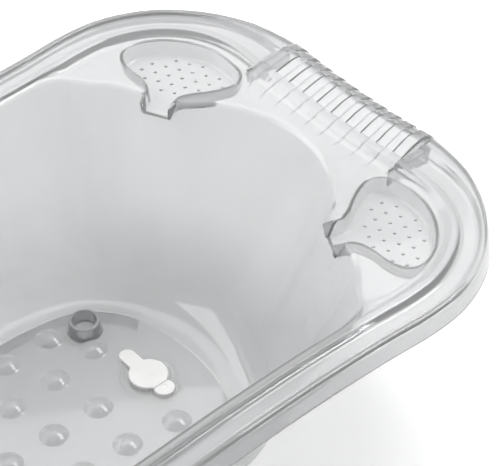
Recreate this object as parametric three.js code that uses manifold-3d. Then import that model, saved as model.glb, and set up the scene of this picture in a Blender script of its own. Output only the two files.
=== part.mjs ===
import * as THREE from "three";
import { mergeVertices } from "three/addons/utils/BufferGeometryUtils.js";
import Module from "manifold-3d";

const wasm = await Module();
wasm.setup();

// A baby bathtub, in millimetres, +Z up. +X points to the drain end, +Y is the left side
// for a person standing at the head end. The lowest point of the feet is at z = 0.

// ---- heights
const FOOT_HEIGHT = 12;
const SKIN = 3;
const FLOOR_Z = FOOT_HEIGHT + SKIN;
const RIM_Z = FLOOR_Z + 200;
const SHELF_DROP = 6;
const SHELF_Z = RIM_Z - SHELF_DROP;
const DISH_DROP = 22;
const DISH_Z = RIM_Z - DISH_DROP;
const FLOOR_STEP = 1;

// ---- rays that place the stations round the tub
const FOOT_FAN_X = 140;
const HEAD_FAN_X = -150;
const SIDE_STATIONS = 4;

// ---- rounding of the wall at its foot and at its top edge
const FOOT_ROUND = 32;
const EDGE_ROUND = 3.5;

// ---- ridges under the floor: where each one starts, and its distance from the floor's edge
const FOOT_FROM_X = 60;
const FOOT_FROM_Y = 62;
const FOOT_INSET = 0.5;

// ---- distance from the bead line in to the wall's edge: without a shelf, and with all of it
const NO_SHELF = 6;
const FULL_SHELF = 20;
const BARE_DROP = 3;

// ---- grip at each end: where the rim starts to widen, and where the ribbed crown stands up
const GRIP_FULL = 84;
const GRIP_END = 190;
const CROWN_FULL = 91;
const CROWN_END = 97;
const RIB_COUNT = 9;
const RIB_PITCH = 19.5;
const RIB_WIDTH = 9.5;

// ---- drain, plug and its anchor
const DRAIN_X = 156;
const DRAIN_RADIUS = 15;
const SPIGOT_WALL = 3;
const SPIGOT_LENGTH = 9;
const DRAIN_RECESS_RADIUS = 23;
const RECESS_DEPTH = 1;
const PLUG_RADIUS = 18.7;
const PLUG_THICKNESS = 4;
const PLUG_GAP = 0.3;
const STOPPER_TOP_RADIUS = 14.6;
const STOPPER_LOW_RADIUS = 13.5;
const STOPPER_DEPTH = 5.5;
const TAB_REACH = 31;
const TAB_RADIUS = 8;
const ANCHOR_REACH = 23;
const ANCHOR_RADIUS = 10;
const HINGE_REACH = 18.6;
const HINGE_HALF_WIDTH = 8.5;
const HINGE_GAP = 0.4;
const PIN_RADIUS = 2.5;
const PIN_HOLE_RADIUS = 2.8;
const BARB_RADIUS = 4;

// ---- socket standing on the floor
const SOCKET_X = 148;
const SOCKET_Y = 85;
const SOCKET_RADIUS = 16;
const SOCKET_TOP_RADIUS = 15;
const SOCKET_BORE = 11;
const SOCKET_HEIGHT = 15;

// ---- raised grips on the floor and studs in the dishes
const DOME_RADIUS = 13.7;
const DOME_RISE = 4.5;
const DOME_PITCH = 51.5;
const STUD_RADIUS = 1.9;
const STUD_RISE = 1.2;
const STUD_PITCH = 13;

// ---------------------------------------------------------------- outlines seen from above
// Half outlines from the drain end (y = 0) round the +Y side to the head end (y = 0).

// inner line of the rim bead
const BEAD_HALF = [
  [369.5, 0], [371, 57], [374.5, 105], [374, 136], [362.5, 169], [336.5, 197.5],
  [300, 214.5], [268, 218], [214, 215], [148, 213], [60, 213.5], [-23, 216],
  [-110, 217.5], [-190, 219], [-262, 218.5], [-306, 210], [-341, 187], [-365, 149],
  [-373, 110], [-372, 57], [-370, 0],
];

// top edge of the wall, which stands back from the bead to leave a shelf at the drain end only
const EDGE_HALF = [
  [339.5, 0], [336, 28], [328, 51], [317, 71.5], [305, 86], [291, 98],
  [284, 109], [277, 123], [270, 138], [263, 156], [254, 170], [243, 181],
  [235, 193], [226, 202.5], [205, 208.5], [148, 207.5], [60, 208], [-23, 210.5],
  [-110, 212], [-190, 213.5], [-261, 213], [-303.5, 205], [-337, 183.5], [-360, 146.5],
  [-367.5, 109.5], [-366.5, 57], [-364.5, 0],
];

// floor panel
const FLOOR_HALF = [
  [207, 0], [202, 45], [186, 84], [155, 112], [110, 123], [60, 125], [-60, 125],
  [-130, 121], [-178, 104], [-202, 66], [-209, 0],
];

function closedCurve(half, samples) {
  const inner = half.slice(1, -1);
  const mirrored = inner.map(([x, y]) => [x, -y]).reverse();
  const points = [...half, ...mirrored].map(([x, y]) => new THREE.Vector3(x, y, 0));
  const curve = new THREE.CatmullRomCurve3(points, true, "centripetal");
  return curve.getPoints(samples).slice(0, -1);
}

const bead = closedCurve(BEAD_HALF, 720);
const edge = closedCurve(EDGE_HALF, 720);
const floor = closedCurve(FLOOR_HALF, 480);

// where a ray from (originX, 0) leaves a closed outline, and the outward normal there
function hit(outline, originX, angle) {
  const dx = Math.cos(angle);
  const dy = Math.sin(angle);
  for (let i = 0; i < outline.length; i++) {
    const a = outline[i];
    const b = outline[(i + 1) % outline.length];
    const sideA = dx * a.y - dy * (a.x - originX);
    const sideB = dx * b.y - dy * (b.x - originX);
    if (sideA > 0 === sideB > 0) continue;
    const share = sideA / (sideA - sideB);
    const x = a.x + share * (b.x - a.x);
    const y = a.y + share * (b.y - a.y);
    if ((x - originX) * dx + y * dy <= 0) continue;
    const length = Math.hypot(b.x - a.x, b.y - a.y);
    return { x, y, nx: (b.y - a.y) / length, ny: -(b.x - a.x) / length };
  }
  throw new Error("ray misses the outline");
}

// ray angles of one quarter, closer together round the corners
function quarterAngles() {
  const degrees = [];
  for (let a = 0; a < 20; a += 6.5) degrees.push(a);
  for (let a = 20; a < 62; a += 4) degrees.push(a);
  for (let a = 64; a < 90; a += 4.3) degrees.push(a);
  return degrees;
}

function stationRays() {
  const quarter = quarterAngles();
  const rays = [];
  for (const a of quarter) rays.push([FOOT_FAN_X, a]);
  for (let i = 0; i <= SIDE_STATIONS; i++) {
    rays.push([FOOT_FAN_X + ((HEAD_FAN_X - FOOT_FAN_X) * i) / SIDE_STATIONS, 90]);
  }
  for (const a of [...quarter].reverse()) rays.push([HEAD_FAN_X, 180 - a]);
  const mirrored = rays.slice(1, -1).map(([x, a]) => [x, -a]).reverse();
  return [...rays, ...mirrored].map(([x, a]) => [x, THREE.MathUtils.degToRad(a)]);
}

const stations = stationRays().map(([x, angle]) => {
  const onBead = hit(bead, x, angle);
  const onEdge = hit(edge, x, angle);
  const onFloor = hit(floor, x, angle);
  const run = Math.hypot(onEdge.x - onFloor.x, onEdge.y - onFloor.y);
  const wayX = (onEdge.x - onFloor.x) / run;
  const wayY = (onEdge.y - onFloor.y) / run;
  const gap = Math.hypot(onBead.x - onEdge.x, onBead.y - onEdge.y);
  const shelf = THREE.MathUtils.smoothstep(gap, NO_SHELF, FULL_SHELF);
  const atEnd = Math.abs(onBead.x) > 300 ? 1 : 0;
  const fading = (full, end) => {
    return atEnd * (1 - THREE.MathUtils.smoothstep(Math.abs(onBead.y), full, end));
  };
  const wide = fading(GRIP_FULL, GRIP_END);
  const tall = fading(CROWN_FULL, CROWN_END);
  return { bead: onBead, floor: onFloor, run, wayX, wayY, shelf, wide, tall };
});

// ---------------------------------------------------------------- solids from rings
// Rings of equal length are joined in order; the first and last are closed by a fan.
function ringSolid(rings) {
  const count = rings[0].length;
  const position = [];
  const index = [];
  for (const ring of rings) {
    for (const p of ring) position.push(...p);
  }
  const at = (ring, i) => ring * count + (i % count);
  for (let ring = 0; ring + 1 < rings.length; ring++) {
    for (let i = 0; i < count; i++) {
      index.push(at(ring, i), at(ring, i + 1), at(ring + 1, i + 1));
      index.push(at(ring, i), at(ring + 1, i + 1), at(ring + 1, i));
    }
  }
  addFan(position, index, rings[0], 0, true);
  addFan(position, index, rings.at(-1), (rings.length - 1) * count, false);
  const geometry = new THREE.BufferGeometry();
  geometry.setAttribute("position", new THREE.Float32BufferAttribute(position, 3));
  geometry.setIndex(index);
  return geometry;
}

function addFan(position, index, ring, start, first) {
  const count = ring.length;
  const centre = [0, 0, 0];
  for (const p of ring) {
    for (let k = 0; k < 3; k++) centre[k] += p[k] / count;
  }
  const middle = position.length / 3;
  position.push(...centre);
  for (let i = 0; i < count; i++) {
    const a = start + i;
    const b = start + ((i + 1) % count);
    if (first) index.push(middle, b, a);
    else index.push(middle, a, b);
  }
}

function toManifold(geometry) {
  const plain = geometry.clone();
  plain.deleteAttribute("normal");
  plain.deleteAttribute("uv");
  const merged = mergeVertices(plain, 1e-4);
  const mesh = new wasm.Mesh({
    numProp: 3,
    vertProperties: new Float32Array(merged.attributes.position.array),
    triVerts: new Uint32Array(merged.index.array),
  });
  return new wasm.Manifold(mesh);
}

function toGeometry(solid) {
  const mesh = solid.getMesh();
  const geometry = new THREE.BufferGeometry();
  geometry.setAttribute("position", new THREE.BufferAttribute(mesh.vertProperties, 3));
  geometry.setIndex(new THREE.BufferAttribute(mesh.triVerts, 1));
  geometry.computeVertexNormals();
  return geometry;
}

// ---------------------------------------------------------------- tub wall and rim
function bezier(a, b, c, steps) {
  const points = [];
  for (let i = 0; i <= steps; i++) {
    const t = i / steps;
    const u = 1 - t;
    points.push([
      u * u * a[0] + 2 * u * t * b[0] + t * t * c[0],
      u * u * a[1] + 2 * u * t * b[1] + t * t * c[1],
    ]);
  }
  return points;
}

// section of the wall as [distance out from the floor panel, z], set back by a thickness
function wallSection(run, shelf, setback) {
  const low = FLOOR_Z + FLOOR_STEP - setback;
  const high = RIM_Z - THREE.MathUtils.lerp(BARE_DROP, SHELF_DROP, shelf) - setback;
  const slope = Math.atan2(high - low, run - FOOT_ROUND);
  const shift = setback * Math.tan(slope / 2);
  const along = (distance) => [Math.cos(slope) * distance, Math.sin(slope) * distance];
  const foot = [FOOT_ROUND + shift, low];
  const top = [run + shift, high];
  const [footX, footZ] = along(FOOT_ROUND);
  const [topX, topZ] = along(EDGE_ROUND);
  return [
    ...bezier([shift, low], foot, [foot[0] + footX, foot[1] + footZ], 3),
    ...bezier([top[0] - topX, top[1] - topZ], top, [top[0] + EDGE_ROUND, high], 2),
  ];
}

// Section of the rim: [distance out from the bead line, height over it], plain and at a grip,
// and where there is no shelf if that differs.
const RIM_TOP = [
  [[-12, -6], [-12, -6], [-1.6, -3]],
  [[-6, -4.7], [-6, -4.7], [-0.9, -1.8]],
  [[0, 0], [0, 0]],
  [[3, 0.8], [3, 0.8]],
  [[6, 0], [6, 0]],
  [[8.5, -3], [9, -2]],
  [[12, -5.5], [14, 0.5]],
  [[24, -5.5], [24, 3.5]],
  [[28, -1], [34, 4.5]],
  [[30, -0.8], [44, 3]],
  [[32.5, -2.2], [52, -1.5]],
  [[34.5, -7], [57, -9]],
  [[37, -22], [59.5, -22]],
];
const RIM_UNDER = [
  [[34, -22], [56.5, -22]],
  [[31.6, -9], [54, -11]],
  [[30, -6.5], [49.5, -5]],
  [[25, -8.7], [34, 1.4]],
  [[-12, -9], [-12, -9], [2, -8.5]],
];

function rimRing([plain, grip, bare]) {
  return stations.map((s) => {
    let out = THREE.MathUtils.lerp(plain[0], grip[0], s.wide);
    let up = THREE.MathUtils.lerp(plain[1], grip[1], s.tall);
    if (bare) {
      out = THREE.MathUtils.lerp(bare[0], out, s.shelf);
      up = THREE.MathUtils.lerp(bare[1], up, s.shelf);
    }
    return [s.bead.x + s.bead.nx * out, s.bead.y + s.bead.ny * out, RIM_Z + up];
  });
}

function wallRings(setback) {
  const sections = stations.map((s) => wallSection(s.run, s.shelf, setback));
  return sections[0].map((_, k) => stations.map((s, i) => {
    const [out, z] = sections[i][k];
    return [s.floor.x + s.wayX * out, s.floor.y + s.wayY * out, z];
  }));
}

function floorRing(inset, z) {
  return stations.map((s) => [s.floor.x - s.wayX * inset, s.floor.y - s.wayY * inset, z]);
}

function tubSkin() {
  const top = [floorRing(2, FLOOR_Z), ...wallRings(0), ...RIM_TOP.map(rimRing)];
  const under = [...RIM_UNDER.map(rimRing), ...wallRings(SKIN).reverse()];
  under.push(floorRing(2, FLOOR_Z - SKIN));
  return toManifold(ringSolid([...under.reverse(), ...top.reverse()]));
}

// ---------------------------------------------------------------- soap dishes
// Outline of the +Y dish at the drain end: an arc along the bead and a spout to the bath.
const DISH_POINTS = [
  [357, 99], [362, 122], [359, 147], [347, 171], [329, 189], [309, 197.5],
  [296, 196], [288, 186], [285, 170], [285, 156], [281, 143], [277, 136],
  [292, 111], [303, 108], [316, 100.5], [331, 93.5], [346, 91],
];
// the spout runs from the dish to the bath about this point, in this direction
const SPOUT_AT = [278, 122];
const SPOUT_WAY = [-0.89, -0.456];
const SPOUT_HALF_WIDTH = 14;
const LIP_ROUND = 4;

function offsetOutline(points, out) {
  return points.map((p, i) => {
    const before = points.at(i - 1);
    const after = points[(i + 1) % points.length];
    const dx = after[0] - before[0];
    const dy = after[1] - before[1];
    const length = Math.hypot(dx, dy);
    return [p[0] + (dy / length) * out, p[1] - (dx / length) * out];
  });
}

function outlineRing(points, out, z) {
  return offsetOutline(points, out).map(([x, y]) => [x, y, z]);
}

function smoothOutline(points, samples) {
  const curve = new THREE.CatmullRomCurve3(
    points.map(([x, y]) => new THREE.Vector3(x, y, 0)), true, "centripetal");
  return curve.getPoints(samples).slice(0, -1).map((p) => [p.x, p.y]);
}

function mirrorY(geometry) {
  const copy = geometry.clone();
  copy.scale(1, -1, 1);
  const order = copy.index.array;
  for (let i = 0; i < order.length; i += 3) {
    const keep = order[i];
    order[i] = order[i + 1];
    order[i + 1] = keep;
  }
  return copy;
}

function prism(points, low, high) {
  return ringSolid([outlineRing(points, 0, low), outlineRing(points, 0, high)]);
}

function bothSides(geometry) {
  return [toManifold(geometry), toManifold(mirrorY(geometry))];
}

// four-sided footprint of the spout between two distances along it
function spoutOutline(from, to, widen) {
  const [ux, uy] = SPOUT_WAY;
  const corner = (along, across) => [
    SPOUT_AT[0] + ux * along - uy * across,
    SPOUT_AT[1] + uy * along + ux * across,
  ];
  const half = SPOUT_HALF_WIDTH + widen;
  return [corner(to, -half), corner(to, half), corner(from, half + 4), corner(from, -half - 4)];
}

function dishParts() {
  const outline = smoothOutline(DISH_POINTS, 30);
  const tray = ringSolid([
    outlineRing(outline, SKIN - 0.5, DISH_Z - SKIN),
    outlineRing(outline, SKIN + 0.5, SHELF_Z - SKIN + 1),
  ]);
  const hollow = ringSolid([
    outlineRing(outline, -1, DISH_Z),
    outlineRing(outline, 0, SHELF_Z - LIP_ROUND),
    outlineRing(outline, LIP_ROUND / 2, SHELF_Z + 0.5),
  ]);
  const spout = prism(spoutOutline(-20, 18, 0), DISH_Z, SHELF_Z + SHELF_DROP);
  const spoutTray = prism(spoutOutline(-18, 8, SKIN), DISH_Z - SKIN, SHELF_Z - SKIN + 1);
  return { tray, hollow, spout, spoutTray };
}

// ---------------------------------------------------------------- small repeated features
function disc(radius, low, high, sides) {
  const geometry = new THREE.CylinderGeometry(radius, radius, high - low, sides);
  geometry.rotateX(Math.PI / 2);
  geometry.translate(0, 0, (low + high) / 2);
  return geometry;
}

function turned(profile, sides) {
  const points = profile.map(([r, z]) => new THREE.Vector2(r, z));
  const geometry = new THREE.LatheGeometry(points, sides);
  geometry.rotateX(Math.PI / 2);
  return geometry;
}

function placed(geometry, x, y) {
  return geometry.clone().translate(x, y, 0);
}

function domes() {
  const buried = FLOOR_Z - 1;
  const profile = [
    [0, buried], [DOME_RADIUS + 0.5, buried],
    [DOME_RADIUS * 0.62, FLOOR_Z + DOME_RISE * 0.74], [0, FLOOR_Z + DOME_RISE],
  ];
  const dome = turned(profile, 10);
  const places = [];
  for (let row = 0; row < 6; row++) {
    places.push([96 - row * DOME_PITCH, 0]);
    const spread = 53 + 8 * Math.max(0, 1 - row);
    places.push([139 - row * DOME_PITCH, spread], [139 - row * DOME_PITCH, -spread]);
  }
  for (let row = 0; row < 5; row++) {
    places.push([116 - row * DOME_PITCH, 99], [116 - row * DOME_PITCH, -99]);
  }
  return places.map(([x, y]) => toManifold(placed(dome, x, y)));
}

// rows of studs: distance of the row from the tub's middle, first x, number of studs
const STUD_ROWS = [
  [108, 344, 2], [120, 350.5, 4], [132, 344, 4], [144, 350.5, 5],
  [156, 344, 4], [168, 337.5, 4], [180, 317.5, 2],
];

function studs() {
  const profile = [
    [0, DISH_Z - 1], [STUD_RADIUS, DISH_Z - 1], [STUD_RADIUS * 0.7, DISH_Z + STUD_RISE],
    [0, DISH_Z + STUD_RISE],
  ];
  const stud = turned(profile, 6);
  const solids = [];
  for (const [y, firstX, count] of STUD_ROWS) {
    for (let i = 0; i < count; i++) {
      for (const side of [1, -1]) {
        solids.push(toManifold(placed(stud, firstX - i * STUD_PITCH, side * y)));
      }
    }
  }
  return solids;
}

function socketParts() {
  const profile = [
    [0, FLOOR_Z - 1], [SOCKET_RADIUS + 1.5, FLOOR_Z - 1], [SOCKET_RADIUS, FLOOR_Z + 3],
    [SOCKET_TOP_RADIUS, FLOOR_Z + SOCKET_HEIGHT], [0, FLOOR_Z + SOCKET_HEIGHT],
  ];
  const boss = turned(profile, 20);
  const bore = disc(SOCKET_BORE, FLOOR_Z + 2, FLOOR_Z + SOCKET_HEIGHT + 5, 20);
  return {
    boss: toManifold(placed(boss, SOCKET_X, SOCKET_Y)),
    bore: toManifold(placed(bore, SOCKET_X, SOCKET_Y)),
  };
}

// section of one rib: [distance out from the bead line, height over it]
const RIB_SECTION = [
  [10, -1.4], [16, 3.2], [34, 5.9], [44, 4.4], [52.6, -0.3], [58.4, -9],
  [55.5, -9], [49, -0.9], [34, 2.9], [17, 0.4],
];

function gripRibs() {
  const shape = new THREE.Shape(RIB_SECTION.map(([x, z]) => new THREE.Vector2(x, z)));
  const bar = new THREE.ExtrudeGeometry(shape, { depth: RIB_WIDTH, bevelEnabled: false });
  bar.rotateX(Math.PI / 2);
  bar.translate(0, RIB_WIDTH / 2, RIM_Z);
  const solids = [];
  for (let i = 0; i < RIB_COUNT; i++) {
    const y = (i - (RIB_COUNT - 1) / 2) * RIB_PITCH;
    const foot = hit(bead, 0, Math.atan2(y, BEAD_HALF[0][0]));
    solids.push(toManifold(bar.clone().translate(foot.x, y, 0)));
    const turn = bar.clone().rotateZ(Math.PI);
    const head = hit(bead, 0, Math.PI - Math.atan2(y, -BEAD_HALF.at(-1)[0]));
    solids.push(toManifold(turn.translate(head.x, y, 0)));
  }
  return solids;
}

// wedge-shaped webs under the rim at both ends of each grip
function gripWebs() {
  const web = [[364, 94.5], [414, 91], [414, 99], [364, 96]];
  const foot = prism(web, RIM_Z - 21, RIM_Z - 3);
  const solids = bothSides(foot);
  const turned180 = foot.clone().rotateZ(Math.PI);
  return [...solids, ...bothSides(turned180)];
}

// curved ridges under the corners of the floor that the tub stands on
function feet() {
  const corners = [[1, 1], [-1, 1], [-1, -1], [1, -1]];
  return corners.map(([sideX, sideY]) => {
    const run = stations.filter(({ floor: p }) => {
      return p.x * sideX > FOOT_FROM_X && p.y * sideY > FOOT_FROM_Y;
    });
    const line = (inset) => run.map((s) => {
      return new THREE.Vector2(s.floor.x - s.wayX * inset, s.floor.y - s.wayY * inset);
    });
    const shape = new THREE.Shape([...line(FOOT_INSET), ...line(FOOT_INSET + SKIN).reverse()]);
    const depth = FLOOR_Z - 1;
    return toManifold(new THREE.ExtrudeGeometry(shape, { depth, bevelEnabled: false }));
  });
}

function drain() {
  const spigotRadius = DRAIN_RADIUS + SPIGOT_WALL;
  const low = FLOOR_Z - SKIN - SPIGOT_LENGTH + 1;
  const spigot = placed(disc(spigotRadius, low, FLOOR_Z - 1, 32), DRAIN_X, 0);
  const pad = placed(disc(DRAIN_RECESS_RADIUS + 4, FLOOR_Z - SKIN - 1, FLOOR_Z - 1, 32), DRAIN_X, 0);
  const hole = placed(disc(DRAIN_RADIUS, low - 1, FLOOR_Z + 1, 32), DRAIN_X, 0);
  const recess = placed(disc(DRAIN_RECESS_RADIUS, FLOOR_Z - RECESS_DEPTH, FLOOR_Z + 1, 32), DRAIN_X, 0);
  const seat = placed(disc(ANCHOR_RADIUS + 2.5, FLOOR_Z - RECESS_DEPTH, FLOOR_Z + 1, 24),
    DRAIN_X, -ANCHOR_REACH);
  const pinPad = placed(disc(ANCHOR_RADIUS + 5, FLOOR_Z - SKIN - 1, FLOOR_Z - 1, 24),
    DRAIN_X, -ANCHOR_REACH);
  const pinHole = placed(disc(PIN_HOLE_RADIUS, 0, FLOOR_Z + 1, 16), DRAIN_X, -ANCHOR_REACH);
  return {
    add: [spigot, pad, pinPad].map(toManifold),
    cut: [hole, recess, seat, pinHole].map(toManifold),
  };
}

function tubShell() {
  const dish = dishParts();
  const socket = socketParts();
  const outlet = drain();
  let solid = tubSkin();
  for (const part of [...bothSides(dish.tray), ...bothSides(dish.spoutTray)]) {
    solid = solid.add(part);
  }
  for (const part of [...gripWebs(), ...gripRibs(), ...feet()]) solid = solid.add(part);
  for (const part of [...outlet.add, socket.boss, ...domes()]) solid = solid.add(part);
  for (const part of [...bothSides(dish.hollow), ...bothSides(dish.spout)]) {
    solid = solid.subtract(part);
  }
  for (const part of [...outlet.cut, socket.bore]) solid = solid.subtract(part);
  for (const part of studs()) solid = solid.add(part);
  return toGeometry(solid.simplify(0.03));
}

// ---------------------------------------------------------------- plug and anchor
const PLUG_LOW = FLOOR_Z - RECESS_DEPTH + PLUG_GAP;
const PLUG_TOP = PLUG_LOW + PLUG_THICKNESS;

function bar(x0, x1, y0, y1, z0, z1) {
  const geometry = new THREE.BoxGeometry(x1 - x0, y1 - y0, z1 - z0);
  return geometry.translate((x0 + x1) / 2, (y0 + y1) / 2, (z0 + z1) / 2);
}

function drainPlug() {
  const body = toManifold(turned([
    [0, FLOOR_Z - STOPPER_DEPTH], [STOPPER_LOW_RADIUS, FLOOR_Z - STOPPER_DEPTH],
    [STOPPER_TOP_RADIUS, PLUG_LOW], [PLUG_RADIUS, PLUG_LOW],
    [PLUG_RADIUS, PLUG_TOP - 1], [PLUG_RADIUS - 1, PLUG_TOP], [0, PLUG_TOP],
  ], 40));
  const tabEnd = toManifold(placed(disc(TAB_RADIUS, PLUG_LOW + 1.2, PLUG_TOP, 24), 0, TAB_REACH));
  const neck = toManifold(bar(-TAB_RADIUS, TAB_RADIUS, 10, TAB_REACH, PLUG_LOW + 1.2, PLUG_TOP));
  const hingeSide = toManifold(bar(-HINGE_HALF_WIDTH, HINGE_HALF_WIDTH, -HINGE_REACH, -10,
    PLUG_TOP - 1.6, PLUG_TOP));
  const beyond = toManifold(bar(-30, 30, -60, -HINGE_REACH, 0, PLUG_TOP + 5));
  const solid = body.add(tabEnd).add(neck).add(hingeSide).subtract(beyond);
  return toGeometry(solid.translate([DRAIN_X, 0, 0]));
}

function plugAnchor() {
  const under = FLOOR_Z - SKIN - 1 - PLUG_GAP;
  const lobe = toManifold(disc(ANCHOR_RADIUS, PLUG_LOW, PLUG_TOP, 28));
  const pin = toManifold(turned([
    [0, under - 3], [PIN_RADIUS - 0.5, under - 3], [BARB_RADIUS, under],
    [PIN_RADIUS, under], [PIN_RADIUS, PLUG_LOW + 1], [0, PLUG_LOW + 1],
  ], 16));
  const dimple = toManifold(disc(3, PLUG_TOP - 0.8, PLUG_TOP + 1, 16));
  const limit = ANCHOR_REACH - HINGE_REACH - HINGE_GAP;
  const beyond = toManifold(bar(-30, 30, limit, 30, 0, PLUG_TOP + 5));
  const solid = lobe.add(pin).subtract(dimple).subtract(beyond);
  return toGeometry(solid.translate([DRAIN_X, -ANCHOR_REACH, 0]));
}

// ---------------------------------------------------------------- assembly
function piece(name, geometry, color, roughness) {
  const material = new THREE.MeshStandardMaterial({ color, roughness, metalness: 0 });
  const mesh = new THREE.Mesh(geometry, material);
  mesh.name = name;
  return mesh;
}

const group = new THREE.Group();
group.name = "baby_bathtub";
group.add(piece("tub_shell", tubShell(), 0xd9dcde, 0.15));
group.add(piece("drain_plug", drainPlug(), 0xf4f4f2, 0.35));
group.add(piece("plug_anchor", plugAnchor(), 0xf4f4f2, 0.35));

export default group;
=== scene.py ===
"""Baby bathtub in clear plastic: its looks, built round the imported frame.

Metres, +Z up. +X points to the drain end and +Y to the side that the plug's tab points to.
The tub is a closed skin swept round its outlines, joined with and cut by smaller solids.
"""

import math

import bpy
import numpy as np
from mathutils import Matrix, Vector


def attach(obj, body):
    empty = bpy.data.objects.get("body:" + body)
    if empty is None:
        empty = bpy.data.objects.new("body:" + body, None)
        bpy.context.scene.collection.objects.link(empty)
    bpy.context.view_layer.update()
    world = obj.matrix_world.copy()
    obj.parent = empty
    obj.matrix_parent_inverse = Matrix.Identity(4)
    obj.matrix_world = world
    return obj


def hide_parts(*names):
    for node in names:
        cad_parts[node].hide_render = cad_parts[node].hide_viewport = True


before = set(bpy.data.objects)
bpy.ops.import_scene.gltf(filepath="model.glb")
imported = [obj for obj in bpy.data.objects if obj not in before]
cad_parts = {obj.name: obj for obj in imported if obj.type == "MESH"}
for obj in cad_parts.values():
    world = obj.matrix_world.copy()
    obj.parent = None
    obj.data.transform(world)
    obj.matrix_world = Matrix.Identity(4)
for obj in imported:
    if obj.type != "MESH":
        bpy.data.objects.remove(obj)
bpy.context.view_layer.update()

# ---- heights
FOOT_HEIGHT = 0.012
SKIN = 0.003
FLOOR_Z = FOOT_HEIGHT + SKIN
BATH_DEPTH = 0.200
RIM_Z = FLOOR_Z + BATH_DEPTH
SHELF_DROP = 0.006
SHELF_Z = RIM_Z - SHELF_DROP
DISH_DROP = 0.022
DISH_Z = RIM_Z - DISH_DROP
FLOOR_STEP = 0.001

# ---- solids that are joined or cut: how far one runs past the other's surface, and how far a
# flared edge ends short of it or past it, so that two surfaces never coincide
BURIED = 0.001
SKIM = 0.00002

# ---- rays that place the stations round the tub
FOOT_FAN_X = 0.140
HEAD_FAN_X = -0.150
CORNER_STATIONS = 36
SIDE_STATIONS = 26

# ---- rounding of the wall at its foot and at its top edge
FOOT_ROUND = 0.032
EDGE_ROUND = 0.0045

# ---- ridges under the floor: where each one starts, and its distance from the floor's edge
FOOT_FROM_X = 0.067
FOOT_FROM_Y = 0.062
FOOT_INSET = 0.0005

# ---- distance from the bead line in to the wall's edge, without a shelf and with all of it,
# and how far below the rim the wall ends where there is no shelf
NO_SHELF = 0.006
FULL_SHELF = 0.020
BARE_DROP = 0.003

# ---- grip at each end: where the rim starts to widen, and where the ribbed crown stands up
GRIP_FROM_X = 0.300
GRIP_FULL = 0.084
GRIP_END = 0.190
CROWN_FULL = 0.0925
CROWN_END = 0.0950
RIB_COUNT = 9
RIB_PITCH = 0.0195
RIB_HALF_WIDTH = 0.00475
RIB_EDGE = 0.0006

# ---- drain, plug and its anchor
DRAIN_X = 0.156
DRAIN_RADIUS = 0.015
SPIGOT_LENGTH = 0.009
RECESS_RADIUS = 0.023
RECESS_DEPTH = 0.001
PLUG_RADIUS = 0.0187
PLUG_GAP = 0.0003
PLUG_LOW = FLOOR_Z - RECESS_DEPTH + PLUG_GAP
PLUG_THICKNESS = 0.004
PLUG_TOP = PLUG_LOW + PLUG_THICKNESS
PLUG_EDGE = 0.0010
PLUG_BLEND = 0.0012
TAB_LIFT = 0.0012
STOPPER_TOP_RADIUS = 0.0146
STOPPER_LOW_RADIUS = 0.0135
STOPPER_DEPTH = 0.0055
TAB_REACH = 0.031
TAB_RADIUS = 0.008
ANCHOR_REACH = 0.023
ANCHOR_RADIUS = 0.010
HINGE_REACH = 0.0186
HINGE_HALF_WIDTH = 0.0085
HINGE_GAP = 0.0004
PIN_RADIUS = 0.0025
PIN_HOLE_RADIUS = 0.0028
BARB_RADIUS = 0.004

# ---- socket standing on the floor
SOCKET_X = 0.148
SOCKET_Y = 0.085
SOCKET_RADIUS = 0.016
SOCKET_TOP_RADIUS = 0.015
SOCKET_BORE = 0.011
SOCKET_HEIGHT = 0.015

# ---- raised grips on the floor and studs in the dishes
DOME_RADIUS = 0.0137
DOME_RISE = 0.0045
DOME_PITCH = 0.0515
MIDDLE_DOME_X = 0.096
PAIR_DOME_X = 0.139
FIRST_PAIR_Y = 0.061
PAIR_DOME_Y = 0.053
OUTER_DOME_X = 0.116
OUTER_DOME_Y = 0.099
STUD_RADIUS = 0.0019
STUD_RISE = 0.0012
STUD_PITCH = 0.013

# ---------------------------------------------------------------- outlines seen from above
# Half outlines from the drain end (y = 0) round the +Y side to the head end (y = 0).

# inner line of the rim bead
BEAD_HALF = [
    (0.3695, 0), (0.371, 0.057), (0.3745, 0.105), (0.374, 0.136), (0.3625, 0.169),
    (0.3365, 0.1975), (0.300, 0.2145), (0.268, 0.218), (0.214, 0.215), (0.148, 0.213),
    (0.060, 0.2135), (-0.023, 0.216), (-0.110, 0.2175), (-0.190, 0.219), (-0.262, 0.2185),
    (-0.306, 0.210), (-0.341, 0.187), (-0.365, 0.149), (-0.373, 0.110), (-0.372, 0.057),
    (-0.370, 0),
]

# top edge of the wall, which stands back from the bead to leave a shelf at the drain end only
EDGE_HALF = [
    (0.3395, 0), (0.336, 0.028), (0.328, 0.051), (0.317, 0.0715), (0.305, 0.086),
    (0.291, 0.098), (0.284, 0.109), (0.277, 0.123), (0.270, 0.138), (0.263, 0.156),
    (0.254, 0.170), (0.243, 0.181), (0.235, 0.193), (0.226, 0.2025), (0.205, 0.2085),
    (0.148, 0.2075), (0.060, 0.208), (-0.023, 0.2105), (-0.110, 0.212), (-0.190, 0.2135),
    (-0.261, 0.213), (-0.3035, 0.205), (-0.337, 0.1835), (-0.360, 0.1465), (-0.3675, 0.1095),
    (-0.3665, 0.057), (-0.3645, 0),
]

# floor panel
FLOOR_HALF = [
    (0.207, 0), (0.202, 0.045), (0.186, 0.084), (0.155, 0.112), (0.110, 0.123),
    (0.060, 0.125), (-0.060, 0.125), (-0.130, 0.121), (-0.178, 0.104), (-0.202, 0.066),
    (-0.209, 0),
]

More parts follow.
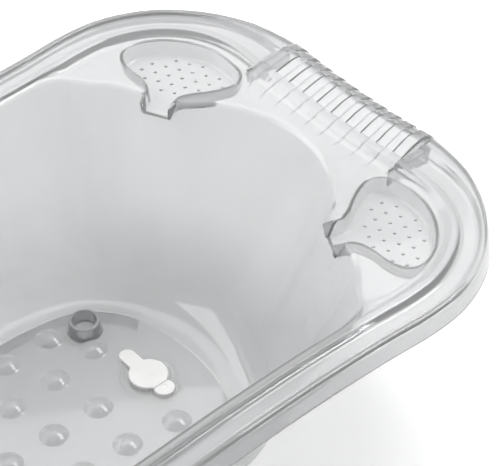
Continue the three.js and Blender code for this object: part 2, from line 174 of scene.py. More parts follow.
# Corners of the rim's section, plain and at a grip, and where there is no shelf if that differs:
# (out from the bead line, height over it, length of the rounding each side of the corner).
RIM_TOP = [
    ((-0.0120, -0.0060, 0.0016), (-0.0120, -0.0060, 0.0016), (-0.0016, -0.0030, 0.0004)),
    ((-0.0062, -0.0047, 0.0016), (-0.0062, -0.0047, 0.0016), (-0.0009, -0.0018, 0.0004)),
    ((0.0000, 0.0000, 0.0015), (0.0000, 0.0000, 0.0015)),
    ((0.0066, 0.0000, 0.0013), (0.0066, 0.0000, 0.0011)),
    ((0.0105, -0.0055, 0.0024), (0.0092, -0.0016, 0.0012)),
    ((0.0245, -0.0055, 0.0026), (0.0240, 0.0032, 0.0070)),
    ((0.0275, -0.0010, 0.0018), (0.0350, 0.0047, 0.0055)),
    ((0.0325, -0.0012, 0.0020), (0.0480, 0.0022, 0.0060)),
    ((0.0346, -0.0070, 0.0024), (0.0560, -0.0072, 0.0050)),
    ((0.0370, -0.0220, 0.0008), (0.0593, -0.0220, 0.0008)),
]
RIM_UNDER = [
    ((0.0340, -0.0220, 0.0008), (0.0565, -0.0220, 0.0008)),
    ((0.0316, -0.0090, 0.0020), (0.0532, -0.0100, 0.0030)),
    ((0.0300, -0.0065, 0.0020), (0.0460, -0.0018, 0.0040)),
    ((0.0250, -0.0087, 0.0020), (0.0340, 0.0014, 0.0040)),
    ((-0.0120, -0.0090, 0.0010), (-0.0120, -0.0090, 0.0010), (0.0020, -0.0085, 0.0010)),
]

# height of a rib over the grip: out from the bead line, height
RIB_HEIGHT = [
    (0.0066, 0), (0.0092, 0.0015), (0.0350, 0.0012), (0.0390, -0.0014), (0.0470, -0.0020),
    (0.0530, -0.0018), (0.0590, 0),
]


def closed_curve(half, samples):
    """Centripetal Catmull-Rom curve through a half outline and its mirror image, as points."""
    half = np.array(half, float)
    mirrored = half[-2:0:-1] * (1, -1)
    return catmull_rom(np.vstack([half, mirrored]), samples, closed=True)


def catmull_rom(points, samples, closed):
    points = np.array(points, float)
    count = len(points)
    spans = count if closed else count - 1
    if closed:
        padded = np.vstack([points[-1], points, points[:2]])
    else:
        padded = np.vstack([2 * points[0] - points[1], points, 2 * points[-1] - points[-2]])
    made = []
    for place in np.arange(samples if closed else samples + 1) * spans / samples:
        span = min(int(place), spans - 1)
        t = place - span
        p0, p1, p2, p3 = padded[span : span + 4]
        d0, d1, d2 = (math.sqrt(np.linalg.norm(b - a)) for a, b in ((p0, p1), (p1, p2), (p2, p3)))
        m1 = ((p1 - p0) / d0 - (p2 - p0) / (d0 + d1) + (p2 - p1) / d1) * d1
        m2 = ((p2 - p1) / d1 - (p3 - p1) / (d1 + d2) + (p3 - p2) / d2) * d1
        cubic = 2 * p1 - 2 * p2 + m1 + m2
        square = -3 * p1 + 3 * p2 - 2 * m1 - m2
        made.append(p1 + m1 * t + square * t**2 + cubic * t**3)
    return np.array(made)


def smoothstep(value, low, high):
    t = np.clip((value - low) / (high - low), 0, 1)
    return t * t * (3 - 2 * t)


def hits(outline, origin_x, angles):
    """Where rays from (origin_x, 0) leave a closed outline, and the outward normals there."""
    ray = np.stack([np.cos(angles), np.sin(angles)], 1)[:, None, :]
    start = outline[None] - np.stack([origin_x, 0 * origin_x], 1)[:, None, :]
    end = np.roll(start, -1, axis=1)
    side_a = ray[..., 0] * start[..., 1] - ray[..., 1] * start[..., 0]
    side_b = ray[..., 0] * end[..., 1] - ray[..., 1] * end[..., 0]
    ahead = (start * ray).sum(2) > 0
    index = np.argmax(((side_a > 0) != (side_b > 0)) & ahead, axis=1)
    row = np.arange(len(index))
    share = (side_a[row, index] / (side_a[row, index] - side_b[row, index]))[:, None]
    along = end[row, index] - start[row, index]
    point = start[row, index] + share * along
    point[:, 0] += origin_x
    normal = np.stack([along[:, 1], -along[:, 0]], 1)
    return point, normal / np.linalg.norm(normal, axis=1)[:, None]


bead = closed_curve(BEAD_HALF, 2400)
edge = closed_curve(EDGE_HALF, 2400)
floor = closed_curve(FLOOR_HALF, 1200)


def grip_stations():
    """Distances from the tub's middle line, close together at the edges of the ribs."""
    offsets = [0, 0.0025]
    offsets += [RIB_HALF_WIDTH + RIB_EDGE * k for k in (-1.6, -1, -0.5, 0, 0.5, 1, 1.6)]
    offsets.append(0.0075)
    distances = set()
    for rib in range(RIB_COUNT // 2 + 1):
        for offset in offsets:
            distances.add(round(rib * RIB_PITCH + offset, 6))
            distances.add(round(rib * RIB_PITCH + RIB_PITCH - offset, 6))
    return np.array(sorted(d for d in distances if d <= (RIB_COUNT + 1) / 2 * RIB_PITCH))


def station_rays():
    """Start on the middle line and angle of every ray, once round the tub."""
    across = grip_stations()
    reach = bead[: len(bead) // 4]
    foot_x = np.interp(across, reach[:, 1], reach[:, 0])
    foot = np.arctan2(across, foot_x - FOOT_FAN_X)
    behind = bead[len(bead) // 2 : len(bead) // 4 : -1]
    head_x = np.interp(across, behind[:, 1], behind[:, 0])
    head = np.arctan2(across, head_x - HEAD_FAN_X)
    origins = [np.full(len(foot), FOOT_FAN_X)]
    angles = [foot]
    turn = np.linspace(foot[-1], math.pi / 2, CORNER_STATIONS + 1)[1:-1]
    origins.append(np.full(len(turn), FOOT_FAN_X))
    angles.append(turn)
    side = np.linspace(FOOT_FAN_X, HEAD_FAN_X, SIDE_STATIONS + 1)
    origins.append(side)
    angles.append(np.full(len(side), math.pi / 2))
    turn = np.linspace(math.pi / 2, head[-1], CORNER_STATIONS + 1)[1:-1]
    origins.append(np.full(len(turn), HEAD_FAN_X))
    angles.append(turn)
    origins.append(np.full(len(head), HEAD_FAN_X))
    angles.append(head[::-1])
    origins = np.concatenate(origins)
    angles = np.concatenate(angles)
    return (
        np.concatenate([origins, origins[-2:0:-1]]),
        np.concatenate([angles, -angles[-2:0:-1]]),
    )


ray_x, ray_angle = station_rays()
bead_point, bead_normal = hits(bead, ray_x, ray_angle)
edge_point, _ = hits(edge, ray_x, ray_angle)
floor_point, _ = hits(floor, ray_x, ray_angle)
wall_run = np.linalg.norm(edge_point - floor_point, axis=1)
wall_way = (edge_point - floor_point) / wall_run[:, None]
at_end = np.abs(bead_point[:, 0]) > GRIP_FROM_X
wide = np.where(at_end, 1 - smoothstep(np.abs(bead_point[:, 1]), GRIP_FULL, GRIP_END), 0)
tall = np.where(at_end, 1 - smoothstep(np.abs(bead_point[:, 1]), CROWN_FULL, CROWN_END), 0)
shelf = smoothstep(np.linalg.norm(bead_point - edge_point, axis=1), NO_SHELF, FULL_SHELF)


# ---------------------------------------------------------------- solids from rings
def ring_mesh(name, rings):
    """A closed solid: rings of equal length joined in order, the first and last as flat caps."""
    count = len(rings[0])
    vertices = np.vstack(rings)
    faces = [tuple(reversed(range(count)))]
    for ring in range(len(rings) - 1):
        low = ring * count
        high = low + count
        for i in range(count):
            j = (i + 1) % count
            faces.append((low + i, low + j, high + j, high + i))
    last = (len(rings) - 1) * count
    faces.append(tuple(range(last, last + count)))
    mesh = bpy.data.meshes.new(name)
    mesh.from_pydata(vertices.tolist(), [], faces)
    mesh.update()
    return mesh


def make_object(name, mesh):
    made = bpy.data.objects.new(name, mesh)
    bpy.context.scene.collection.objects.link(made)
    return made


def joined(name, meshes):
    """Several closed solids that stay apart, as one mesh."""
    vertices = []
    faces = []
    for mesh in meshes:
        start = len(vertices)
        vertices.extend(tuple(v.co) for v in mesh.vertices)
        faces.extend(tuple(start + i for i in p.vertices) for p in mesh.polygons)
        bpy.data.meshes.remove(mesh)
    made = bpy.data.meshes.new(name)
    made.from_pydata(vertices, [], faces)
    made.update()
    return made


def moved(mesh, x, y):
    copy = mesh.copy()
    copy.transform(Matrix.Translation((x, y, 0)))
    return copy


def mirrored(mesh):
    """The solid and its mirror image across the tub's middle line."""
    copy = mesh.copy()
    copy.transform(Matrix.Diagonal((1, -1, 1, 1)))
    copy.flip_normals()
    return [mesh, copy]


def combine(target, tool_mesh, operation):
    """Joins the tool to the target or cuts it out, and drops the tool."""
    tool = make_object("tool", tool_mesh)
    modifier = target.modifiers.new("combine", "BOOLEAN")
    modifier.operation = operation
    modifier.solver = "MANIFOLD"
    modifier.object = tool
    bpy.context.view_layer.update()
    graph = bpy.context.evaluated_depsgraph_get()
    result = bpy.data.meshes.new_from_object(target.evaluated_get(graph))
    target.modifiers.remove(modifier)
    before = target.data
    target.data = result
    bpy.data.meshes.remove(before)
    bpy.data.objects.remove(tool)
    bpy.data.meshes.remove(tool_mesh)


def circle(radius, sides):
    turn = np.arange(sides) * 2 * math.pi / sides
    return np.stack([radius * np.cos(turn), radius * np.sin(turn)], 1)


def turned(name, profile, sides):
    """A solid of revolution: profile is (radius, z) from its lowest ring to its highest."""
    rings = [np.column_stack([circle(r, sides), np.full(sides, z)]) for r, z in profile]
    return ring_mesh(name, rings)


def arc(centre, radius, start, end, steps):
    """Points on an arc in the plane of a section, angles in degrees."""
    turn = np.radians(np.linspace(start, end, steps + 1))
    return [(centre[0] + radius * math.cos(a), centre[1] + radius * math.sin(a)) for a in turn]


# ---------------------------------------------------------------- tub wall and rim
def bezier(a, b, c, steps):
    t = np.linspace(0, 1, steps + 1)[:, None, None]
    return list((1 - t) ** 2 * a + 2 * t * (1 - t) * b + t**2 * c)


def rounded(corners, steps):
    """A section through corners, one array per corner with a row (out, up, rounding length) for
    each station. Inner corners are rounded, and each straight stretch gets a point half-way."""
    places = [c[:, :2] for c in corners]
    line = [places[0]]
    for i in range(1, len(corners) - 1):
        before = places[i - 1] - places[i]
        after = places[i + 1] - places[i]
        length_before = np.linalg.norm(before, axis=1)
        length_after = np.linalg.norm(after, axis=1)
        length = np.minimum(corners[i][:, 2], 0.49 * np.minimum(length_before, length_after))
        start = places[i] + before * (length / length_before)[:, None]
        end = places[i] + after * (length / length_after)[:, None]
        line.append((line[-1] + start) / 2)
        line.extend(bezier(start, places[i], end, steps))
    line.append(places[-1])
    return line


def section_corners(table):
    """Each corner at every station: out follows the rim's width, height follows the crown."""
    corners = []
    for plain, held, *bare in table:
        share = np.stack([wide, tall, tall], 1)
        corner = np.array(plain) * (1 - share) + np.array(held) * share
        if bare:
            corner = np.array(bare[0]) * (1 - shelf[:, None]) + corner * shelf[:, None]
        corners.append(corner)
    return corners


def rib_wave():
    """1 on a rib, 0 between ribs, at every station."""
    across = bead_point[:, 1]
    nearest = np.round(across / RIB_PITCH)
    distance = np.abs(across - nearest * RIB_PITCH)
    on = 1 - smoothstep(distance, RIB_HALF_WIDTH - RIB_EDGE, RIB_HALF_WIDTH + RIB_EDGE)
    counted = np.abs(nearest) <= RIB_COUNT // 2
    return np.where(at_end & counted, on, 0) * tall


ribs = rib_wave()


def rim_ring(out_up):
    out, up = out_up[:, 0], out_up[:, 1].copy()
    table = np.array(RIB_HEIGHT)
    up += np.interp(out, table[:, 0], table[:, 1], left=0, right=0) * ribs
    across = bead_point + bead_normal * out[:, None]
    return np.column_stack([across, RIM_Z + up])


def wall_rings(setback, foot_steps, edge_steps):
    """The wall from the floor's edge to the shelf, set back by a thickness."""
    low = FLOOR_Z + FLOOR_STEP - setback
    high = RIM_Z - BARE_DROP - (SHELF_DROP - BARE_DROP) * shelf - setback
    slope = np.arctan2(high - low, wall_run - FOOT_ROUND)
    shift = setback * np.tan(slope / 2)
    way = np.stack([np.cos(slope), np.sin(slope)], 1)
    begin = np.stack([shift, np.full_like(shift, low)], 1)
    foot = begin + (FOOT_ROUND, 0)
    top = np.stack([wall_run + shift, high], 1)
    foot_end = foot + way * FOOT_ROUND
    top_start = top - way * EDGE_ROUND
    line = bezier(begin, foot, foot_end, foot_steps)
    line += [foot_end + (top_start - foot_end) * k / 3 for k in (1, 2)]
    line += bezier(top_start, top, top + (EDGE_ROUND, 0), edge_steps)
    return [np.column_stack([floor_point + wall_way * p[:, :1], p[:, 1]]) for p in line]


def floor_ring(inset, z):
    return np.column_stack([floor_point - wall_way * inset, np.full(len(floor_point), z)])


def tub_skin():
    crease = [
        floor_ring(inset, FLOOR_Z + FLOOR_STEP * rise)
        for inset, rise in ((0.0026, 0), (0.0019, 0.12), (0.0013, 0.5), (0.0007, 0.88))
    ]
    line = rounded(section_corners(RIM_TOP) + section_corners(RIM_UNDER), 4)
    rim = [rim_ring(p) for p in line]
    top = crease + wall_rings(0, 12, 5) + rim
    under = wall_rings(SKIN, 6, 2)[::-1] + [floor_ring(0.002, FLOOR_Z - SKIN)]
    return ring_mesh("tub", (top + under)[::-1])


# ---------------------------------------------------------------- soap dishes
# Outline of the +Y dish at the drain end, from one side of its spout round to the other.
DISH_POINTS = [
    (0.2716, 0.1345), (0.2770, 0.1375), (0.2820, 0.1440), (0.2850, 0.1560), (0.2850, 0.1700),
    (0.2880, 0.1860), (0.2960, 0.1960), (0.3090, 0.1975), (0.3290, 0.1890), (0.3470, 0.1710),
    (0.3590, 0.1470), (0.3620, 0.1220), (0.3570, 0.0990), (0.3460, 0.0910), (0.3310, 0.0935),
    (0.3160, 0.1005), (0.3030, 0.1080), (0.2920, 0.1115), (0.2844, 0.1095),
]
# the spout runs from the dish to the bath about this point, in this direction
SPOUT_AT = np.array((0.278, 0.122))
SPOUT_WAY = np.array((-0.89, -0.456))
SPOUT_HALF_WIDTH = 0.014
LIP_FLARE = 0.0024


def dish_outline(reach):
    """The dish and its spout, which ends at this reach beyond the spout's middle."""
    across = np.array((-SPOUT_WAY[1], SPOUT_WAY[0]))
    end = SPOUT_AT + SPOUT_WAY * reach
    bulb = catmull_rom(DISH_POINTS, 150, closed=False)
    corners = [end + across * SPOUT_HALF_WIDTH * side for side in (1, -1)]
    outline = np.vstack([bulb, corners])
    x, y = outline.T
    area = (x * np.roll(y, -1) - y * np.roll(x, -1)).sum()
    return outline if area > 0 else outline[::-1]


def offset_ring(outline, out, z):
    """The outline moved out by a distance, square to itself, at a height."""
    along = np.roll(outline, -1, axis=0) - np.roll(outline, 1, axis=0)
    normal = np.stack([along[:, 1], -along[:, 0]], 1)
    normal /= np.linalg.norm(normal, axis=1)[:, None]
    return np.column_stack([outline + normal * out, np.full(len(outline), z)])


def dish_hollow():
    """What is cut away: a rounded bottom, a leaning wall and a lip that flares to the shelf."""
    depth = SHELF_Z - DISH_Z
    section = arc((-0.0050, DISH_Z + 0.003), 0.003, 270, 350, 5)
    section += [(-0.0013, DISH_Z + depth * 0.6)]
    section += [
        (-0.0006 + LIP_FLARE * (1 - math.cos(a)), SHELF_Z + SKIM - 0.0032 * (1 - math.sin(a)))
        for a in np.radians((20, 38, 56, 73, 90))
    ]
    section += [(LIP_FLARE, SHELF_Z + 0.012)]
    outline = dish_outline(0.024)
    return ring_mesh("hollow", [offset_ring(outline, out, z) for out, z in section])


def dish_tray():
    """What is joined under the shelf to hold the dish."""
    outline = dish_outline(0.008)
    section = [(-0.0030, DISH_Z - SKIN), (-0.0008, DISH_Z - SKIN + 0.0008)]
    section += [(0.0012, DISH_Z - SKIN + 0.004), (0.0030, SHELF_Z - SKIN + 0.001)]
    return ring_mesh("tray", [offset_ring(outline, out, z) for out, z in section])


# rows of studs: distance of the row from the tub's middle, first x, number of studs
STUD_ROWS = [
    (0.108, 0.3440, 2), (0.120, 0.3505, 4), (0.132, 0.3440, 4), (0.144, 0.3505, 5),
    (0.156, 0.3440, 4), (0.168, 0.3375, 4), (0.180, 0.3175, 2),
]


def cap_profile(radius, rise, z, flare, steps):
    """A rounded cap whose foot runs out flat on the surface at z, from a buried ring up."""
    ball = (radius**2 + rise**2) / (2 * rise)
    profile = [(radius + flare, z - BURIED), (radius + flare, z - SKIM)]
    profile.append((radius + flare * 0.35, z + rise * 0.02))
    top = math.asin(radius / ball)
    for k in range(steps, 0, -1):
        angle = top * (k - 0.5) / steps
        profile.append((ball * math.sin(angle), z + rise - ball * (1 - math.cos(angle))))
    return profile


def studs():
    stud = turned("stud", cap_profile(STUD_RADIUS, STUD_RISE, DISH_Z, 0.0003, 4), 18)
    made = []
    for y, first_x, count in STUD_ROWS:
        for i in range(count):
            made += mirrored(moved(stud, first_x - i * STUD_PITCH, y))
    return joined("studs", made)


# ---------------------------------------------------------------- floor
def dome_places():
    places = []
    for row in range(6):
        back = row * DOME_PITCH
        aside = FIRST_PAIR_Y if row == 0 else PAIR_DOME_Y
        places.append((MIDDLE_DOME_X - back, 0))
        places += [(PAIR_DOME_X - back, aside), (PAIR_DOME_X - back, -aside)]
    for row in range(5):
        x = OUTER_DOME_X - row * DOME_PITCH
        places += [(x, OUTER_DOME_Y), (x, -OUTER_DOME_Y)]
    return places


def domes():
    dome = turned("dome", cap_profile(DOME_RADIUS, DOME_RISE, FLOOR_Z, 0.0007, 9), 40)
    return joined("domes", [moved(dome, x, y) for x, y in dome_places()])


def socket_boss():
    """A round cup with a flared foot and a rounded rim."""
    top = FLOOR_Z + SOCKET_HEIGHT
    profile = [(SOCKET_RADIUS + 0.003, FLOOR_Z - BURIED), (SOCKET_RADIUS + 0.003, FLOOR_Z - SKIM)]
    profile += arc((SOCKET_RADIUS + 0.0022, FLOOR_Z + 0.002), 0.002, 260, 185, 4)
    profile += arc((SOCKET_TOP_RADIUS - 0.0012, top - 0.0012), 0.0012, 0, 90, 4)
    return moved(turned("boss", profile, 56), SOCKET_X, SOCKET_Y)


def socket_bore():
    """What is cut out of the cup, with a small chamfer at its mouth."""
    top = FLOOR_Z + SOCKET_HEIGHT
    profile = [(SOCKET_BORE - 0.001, FLOOR_Z + 0.002), (SOCKET_BORE, FLOOR_Z + 0.003)]
    profile += [(SOCKET_BORE + 0.0004, top - 0.001), (SOCKET_BORE + 0.0012, top + SKIM)]
    profile += [(SOCKET_BORE + 0.0012, top + 0.005)]
    return moved(turned("bore", profile, 56), SOCKET_X, SOCKET_Y)


def drain_collars():
    """What is joined under the floor: the drain's spigot, and pads where the floor is cut away."""
    spigot_low = FLOOR_Z - SKIN - SPIGOT_LENGTH + 0.001
    spigot = arc((DRAIN_RADIUS + 0.0024, spigot_low + 0.0006), 0.0006, 270, 360, 3)
    spigot += [(DRAIN_RADIUS + SKIN, FLOOR_Z - BURIED)]
    pad = arc((RECESS_RADIUS + 0.003, FLOOR_Z - SKIN), 0.001, 270, 360, 3)
    pad += [(RECESS_RADIUS + 0.004, FLOOR_Z - BURIED)]
    pin_pad = arc((ANCHOR_RADIUS + 0.004, FLOOR_Z - SKIN), 0.001, 270, 360, 3)
    pin_pad += [(ANCHOR_RADIUS + 0.005, FLOOR_Z - BURIED)]
    return [
        moved(turned("spigot", spigot, 64), DRAIN_X, 0),
        moved(turned("pad", pad, 64), DRAIN_X, 0),
        moved(turned("pin_pad", pin_pad, 48), DRAIN_X, -ANCHOR_REACH),
    ]


def recess_profile(radius, depth):
    """A shallow round recess with a rounded edge."""
    profile = [(radius - 0.0006, FLOOR_Z - depth), (radius, FLOOR_Z - depth * 0.6)]
    profile += [(radius + 0.0002, FLOOR_Z - 0.0003), (radius + 0.0008, FLOOR_Z + SKIM)]
    return profile + [(radius + 0.0008, FLOOR_Z + BURIED)]


def drain_cuts():
    """The drain hole and the pin's hole, each with a shallow recess round it."""
    hole = [(DRAIN_RADIUS, 0), (DRAIN_RADIUS, FLOOR_Z + 0.002)]
    pin_hole = [(PIN_HOLE_RADIUS, 0), (PIN_HOLE_RADIUS, FLOOR_Z + 0.002)]
    seat_radius = ANCHOR_RADIUS + 0.0025
    return [
        moved(turned("recess", recess_profile(RECESS_RADIUS, RECESS_DEPTH), 72), DRAIN_X, 0),
        moved(turned("seat", recess_profile(seat_radius, RECESS_DEPTH), 48), DRAIN_X, -ANCHOR_REACH),
        moved(turned("hole", hole, 64), DRAIN_X, 0),
        moved(turned("pin_hole", pin_hole, 24), DRAIN_X, -ANCHOR_REACH),
    ]


# ---------------------------------------------------------------- under the tub
def feet():
    """Curved ridges under the corners of the floor, rounded where they meet the ground."""
    section = [(-0.0008, 0), (-0.0002, 0.0002), (0, 0.0008), (0, FLOOR_Z - BURIED)]
    solids = []
    for side_x, side_y in ((1, 1), (-1, 1), (-1, -1), (1, -1)):
        run = floor_point[:, 0] * side_x > FOOT_FROM_X
        run &= floor_point[:, 1] * side_y > FOOT_FROM_Y
        outer = floor_point[run] - wall_way[run] * FOOT_INSET
        inner = floor_point[run] - wall_way[run] * (FOOT_INSET + SKIN)
        outline = np.vstack([outer, inner[::-1]])
        solids.append(ring_mesh("foot", [offset_ring(outline, out, z) for out, z in section]))
    return joined("feet", solids)


# footprint of the web under the rim at one end of a grip
WEB_FOOTPRINT = np.array([(0.3640, 0.0945), (0.4140, 0.0910), (0.4140, 0.0990), (0.3640, 0.0960)])


def grip_webs():
    """The four webs, which close the channel at both ends of both grips."""
    rings = [offset_ring(WEB_FOOTPRINT, 0, z) for z in (RIM_Z - 0.021, RIM_Z - 0.003)]
    foot_end = mirrored(ring_mesh("web", rings))
    head_end = []
    for mesh in foot_end:
        copy = mesh.copy()
        copy.transform(Matrix.Rotation(math.pi, 4, "Z"))
        head_end.append(copy)
    return joined("webs", foot_end + head_end)


# ---------------------------------------------------------------- the tub, put together
TUB_SHARP_DEGREES = 40
PLUG_SHARP_DEGREES = 35


def finish_piece(piece, material, sharp_degrees):
    """One material, and smooth shading that keeps real edges and flat faces crisp."""
    piece.data.materials.clear()
    piece.data.materials.append(material)
    piece.data.polygons.foreach_set("material_index", [0] * len(piece.data.polygons))
    piece.data.shade_smooth()
    piece.data.set_sharp_from_angle(angle=math.radians(sharp_degrees))
    weighted = piece.modifiers.new("weighted", "WEIGHTED_NORMAL")
    weighted.keep_sharp = True


def build_tub(material):
    tub = make_object("tub", tub_skin())
    combine(tub, joined("trays", mirrored(dish_tray())), "UNION")
    combine(tub, feet(), "UNION")
    combine(tub, grip_webs(), "UNION")
    combine(tub, socket_boss(), "UNION")
    for collar in drain_collars():
        combine(tub, collar, "UNION")
    combine(tub, domes(), "UNION")
    combine(tub, joined("hollows", mirrored(dish_hollow())), "DIFFERENCE")
    combine(tub, socket_bore(), "DIFFERENCE")
    for cut in drain_cuts():
        combine(tub, cut, "DIFFERENCE")
    combine(tub, studs(), "UNION")
    finish_piece(tub, material, TUB_SHARP_DEGREES)
    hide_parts("tub_shell")
    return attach(tub, "tub")


# ---------------------------------------------------------------- plug and anchor
def smooth_max(a, b, width):
    """The larger of two values, with a rounded change-over."""
    share = np.clip(0.5 + 0.5 * (a - b) / width, 0, 1)
    return b + (a - b) * share + width * share * (1 - share)


def plug_outline(sides):
    """The disc with its pull tab, as distances from the disc's middle, cut off at the hinge."""
    turn = np.arange(sides) * 2 * math.pi / sides
    cosine, sine = np.cos(turn), np.sin(turn)
    along = np.where(sine > 0, TAB_REACH * sine, -1)
    side = TAB_REACH * cosine
    tip = along + np.sqrt(np.clip(TAB_RADIUS**2 - side**2, 0, None))
    straight = TAB_RADIUS / np.maximum(np.abs(cosine), 0.001)
    on_tip = (np.abs(side) <= TAB_RADIUS) & (straight * sine > TAB_REACH)
    tab = np.where(on_tip, tip, np.where(sine > 0, np.minimum(straight, 0.05), 0))
    shoulder = np.minimum(
        HINGE_HALF_WIDTH / np.maximum(np.abs(cosine), 0.001),
        HINGE_REACH / np.maximum(-sine, 0.001),
    )
    shoulder = np.where(sine < 0, shoulder, 0)
    reach = smooth_max(np.full(sides, PLUG_RADIUS), np.maximum(tab, shoulder), PLUG_BLEND)
    points = np.stack([reach * cosine, reach * sine], 1)
    points[:, 1] = np.maximum(points[:, 1], -HINGE_REACH)
    return points


def plug_piece(material):
    """The disc and tab over the floor, the part that lies in the recess, and the stopper."""
    outline = plug_outline(240)
    tab_low = PLUG_LOW + TAB_LIFT
    top = [(-0.0004, tab_low), (0, tab_low + 0.0005), (0, PLUG_TOP - PLUG_EDGE)]
    top += arc((-PLUG_EDGE, PLUG_TOP - PLUG_EDGE), PLUG_EDGE, 18, 90, 4)
    disc = ring_mesh("drain_plug_skin", [offset_ring(outline, out, z) for out, z in top])
    plug = make_object("plug", disc)
    base = [(PLUG_RADIUS - 0.0006, PLUG_LOW + 0.0001), (PLUG_RADIUS - 0.0002, PLUG_LOW + 0.0005)]
    base.append((PLUG_RADIUS - 0.0002, tab_low + 0.001))
    combine(plug, turned("base", base, 96), "UNION")
    low = FLOOR_Z - STOPPER_DEPTH
    stopper = arc((STOPPER_LOW_RADIUS - 0.0010, low + 0.0010), 0.0010, 270, 360, 4)
    stopper += [(STOPPER_TOP_RADIUS, PLUG_LOW), (STOPPER_TOP_RADIUS, PLUG_LOW + 0.001)]
    combine(plug, turned("stopper", stopper, 64), "UNION")
    hollow = [(STOPPER_LOW_RADIUS - 0.0022, low - 0.001), (STOPPER_LOW_RADIUS - 0.0018, low + 0.003)]
    combine(plug, turned("hollow", hollow, 48), "DIFFERENCE")
    plug.data.transform(Matrix.Translation((DRAIN_X, 0, 0)))
    finish_piece(plug, material, PLUG_SHARP_DEGREES)
    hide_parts("drain_plug")
    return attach(plug, "plug")


def anchor_piece(material):
    """A round lobe cut off square at the hinge, with a dimple on top and a barbed pin below."""
    profile = [(ANCHOR_RADIUS - 0.0004, PLUG_LOW), (ANCHOR_RADIUS, PLUG_LOW + 0.0004)]
    profile += arc((ANCHOR_RADIUS - PLUG_EDGE, PLUG_TOP - PLUG_EDGE), PLUG_EDGE, 0, 90, 5)
    anchor = make_object("anchor", turned("anchor_skin", profile, 64))
    under = FLOOR_Z - SKIN - 0.0013
    pin = [(PIN_RADIUS - 0.0005, under - 0.003), (BARB_RADIUS, under), (PIN_RADIUS, under + 0.0001)]
    pin += [(PIN_RADIUS, PLUG_LOW + 0.001)]
    combine(anchor, turned("pin", pin, 32), "UNION")
    dimple = [(0.0022, PLUG_TOP - 0.0008), (0.0029, PLUG_TOP - 0.0005), (0.0034, PLUG_TOP + SKIM)]
    combine(anchor, turned("dimple", dimple + [(0.0034, PLUG_TOP + 0.001)], 32), "DIFFERENCE")
    limit = ANCHOR_REACH - HINGE_REACH - HINGE_GAP
    beyond = np.array([(-0.03, limit), (0.03, limit), (0.03, 0.03), (-0.03, 0.03)])
    rings = [offset_ring(beyond, 0, z) for z in (0, PLUG_TOP + 0.005)]
    combine(anchor, ring_mesh("beyond", rings), "DIFFERENCE")
    anchor.data.transform(Matrix.Translation((DRAIN_X, -ANCHOR_REACH, 0)))
    finish_piece(anchor, material, PLUG_SHARP_DEGREES)
    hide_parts("plug_anchor")
    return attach(anchor, "tub")


# ---------------------------------------------------------------- materials
def new_material(name):
    material = bpy.data.materials.new(name)
    material.use_nodes = True
    tree = material.node_tree
    return material, tree, tree.nodes["Principled BSDF"]


def noise(tree, scale, detail, coordinates):
    node = tree.nodes.new("ShaderNodeTexNoise")
    node.inputs["Scale"].default_value = scale
    node.inputs["Detail"].default_value = detail
    tree.links.new(coordinates, node.inputs["Vector"])
    return node.outputs["Fac"]


def ramp(tree, factor, stops):
    node = tree.nodes.new("ShaderNodeValToRGB")
    node.color_ramp.elements[0].position = stops[0][0]
    node.color_ramp.elements[0].color = (*stops[0][1], 1)
    node.color_ramp.elements[1].position = stops[1][0]
    node.color_ramp.elements[1].color = (*stops[1][1], 1)
    tree.links.new(factor, node.inputs["Fac"])
    return node.outputs["Color"]


def spread(tree, factor, low, high):
    node = tree.nodes.new("ShaderNodeMapRange")
    node.inputs["To Min"].default_value = low
    node.inputs["To Max"].default_value = high
    tree.links.new(factor, node.inputs["Value"])
    return node.outputs["Result"]


def bump(tree, height, strength, distance):
    node = tree.nodes.new("ShaderNodeBump")
    node.inputs["Strength"].default_value = strength
    node.inputs["Distance"].default_value = distance
    tree.links.new(height, node.inputs["Height"])
    return node.outputs["Normal"]


def clear_plastic():
    """Clear, faintly grey and slightly milky, with the slow waviness of a large moulding."""
    material, tree, shader = new_material("clear_plastic")
    place = tree.nodes.new("ShaderNodeTexCoord").outputs["Object"]
    cloud = noise(tree, 7, 3, place)
    grain = noise(tree, 900, 2, place)
    colour = ramp(tree, cloud, [(0.3, (0.79, 0.795, 0.80)), (0.7, (0.83, 0.835, 0.84))])
    tree.links.new(colour, shader.inputs["Base Color"])
    tree.links.new(spread(tree, grain, 0.03, 0.06), shader.inputs["Roughness"])
    tree.links.new(bump(tree, noise(tree, 14, 2, place), 0.12, 0.0008), shader.inputs["Normal"])
    shader.inputs["IOR"].default_value = 1.49
    shader.inputs["Transmission Weight"].default_value = 0.7
    depth = tree.nodes.new("ShaderNodeVolumeAbsorption")
    depth.inputs["Color"].default_value = (0.50, 0.51, 0.515, 1)
    depth.inputs["Density"].default_value = 60
    tree.links.new(depth.outputs["Volume"], tree.nodes["Material Output"].inputs["Volume"])
    return material


def white_plastic():
    """Opaque white, satin, with a fine moulded grain."""
    material, tree, shader = new_material("white_plastic")
    place = tree.nodes.new("ShaderNodeTexCoord").outputs["Object"]
    cloud = noise(tree, 60, 3, place)
    grain = noise(tree, 2600, 3, place)
    colour = ramp(tree, cloud, [(0.3, (0.88, 0.88, 0.87)), (0.7, (0.93, 0.93, 0.92))])
    tree.links.new(colour, shader.inputs["Base Color"])
    tree.links.new(spread(tree, grain, 0.30, 0.42), shader.inputs["Roughness"])
    tree.links.new(bump(tree, grain, 0.10, 0.0001), shader.inputs["Normal"])
    shader.inputs["IOR"].default_value = 1.49
    return material


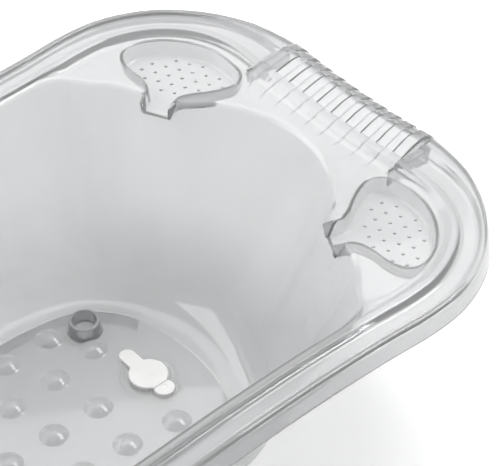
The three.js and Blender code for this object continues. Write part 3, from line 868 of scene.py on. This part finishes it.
def floor_paper():
    """White paper that glows a little, so that the tub's shadow on it stays pale."""
    material, tree, shader = new_material("floor_paper")
    place = tree.nodes.new("ShaderNodeTexCoord").outputs["Object"]
    colour = ramp(tree, noise(tree, 3, 3, place), [(0.2, (0.93, 0.93, 0.93)), (0.8, (0.95, 0.95, 0.95))])
    tree.links.new(colour, shader.inputs["Base Color"])
    tree.links.new(colour, shader.inputs["Emission Color"])
    shader.inputs["Emission Strength"].default_value = 0.40
    shader.inputs["Roughness"].default_value = 0.9
    return material


# ---------------------------------------------------------------- studio
def build_floor():
    half = 6.0
    corners = [(-half, -half, 0), (half, -half, 0), (half, half, 0), (-half, half, 0)]
    mesh = bpy.data.meshes.new("studio_floor")
    mesh.from_pydata(corners, [], [(0, 1, 2, 3)])
    mesh.update()
    ground = make_object("studio_floor", mesh)
    ground.data.materials.append(floor_paper())


def area_light(name, place, aim, width, height, power):
    lamp = bpy.data.lights.new(name, "AREA")
    lamp.shape = "RECTANGLE"
    lamp.size = width
    lamp.size_y = height
    lamp.energy = power
    made = bpy.data.objects.new(name, lamp)
    made.location = place
    made.rotation_euler = (Vector(aim) - Vector(place)).to_track_quat("-Z", "Y").to_euler()
    bpy.context.scene.collection.objects.link(made)
    return made


def build_lights():
    """A white surround, a large light high behind the drain end, and one to its left and right."""
    world = bpy.data.worlds.new("studio")
    world.use_nodes = True
    background = world.node_tree.nodes["Background"]
    background.inputs["Color"].default_value = (1, 1, 1, 1)
    background.inputs["Strength"].default_value = 0.45
    bpy.context.scene.world = world
    middle = (0, 0, 0.15)
    drain_end = (0.37, -0.15, 0.05)
    area_light("back_softbox", (1.08, 1.22, 2.62), drain_end, 2.6, 1.25, 19)
    area_light("left_softbox", (-1.0, 1.5, 1.5), middle, 2.2, 1.4, 26)
    area_light("right_softbox", (1.3, 0, 2.0), middle, 1.2, 0.6, 16)


CAMERA_PLACE = (-0.70396, -1.10862, 1.51155)
CAMERA_YAW = math.radians(48.329)
CAMERA_PITCH = math.radians(43.192)
CAMERA_LENS = 157.8


def build_camera():
    """Above the head end's near corner, looking down at the drain end."""
    level = math.cos(CAMERA_PITCH)
    way = (math.cos(CAMERA_YAW) * level, math.sin(CAMERA_YAW) * level, -math.sin(CAMERA_PITCH))
    lens = bpy.data.cameras.new("camera")
    lens.sensor_width = 36
    lens.lens = CAMERA_LENS
    made = bpy.data.objects.new("camera", lens)
    made.location = CAMERA_PLACE
    made.rotation_mode = "QUATERNION"
    made.rotation_quaternion = Vector(way).to_track_quat("-Z", "Y")
    bpy.context.scene.collection.objects.link(made)
    bpy.context.scene.camera = made


build_camera()
build_lights()
build_floor()
bpy.context.scene.view_settings.view_transform = "Standard"

build_tub(clear_plastic())
satin_white = white_plastic()
plug_piece(satin_white)
anchor_piece(satin_white)
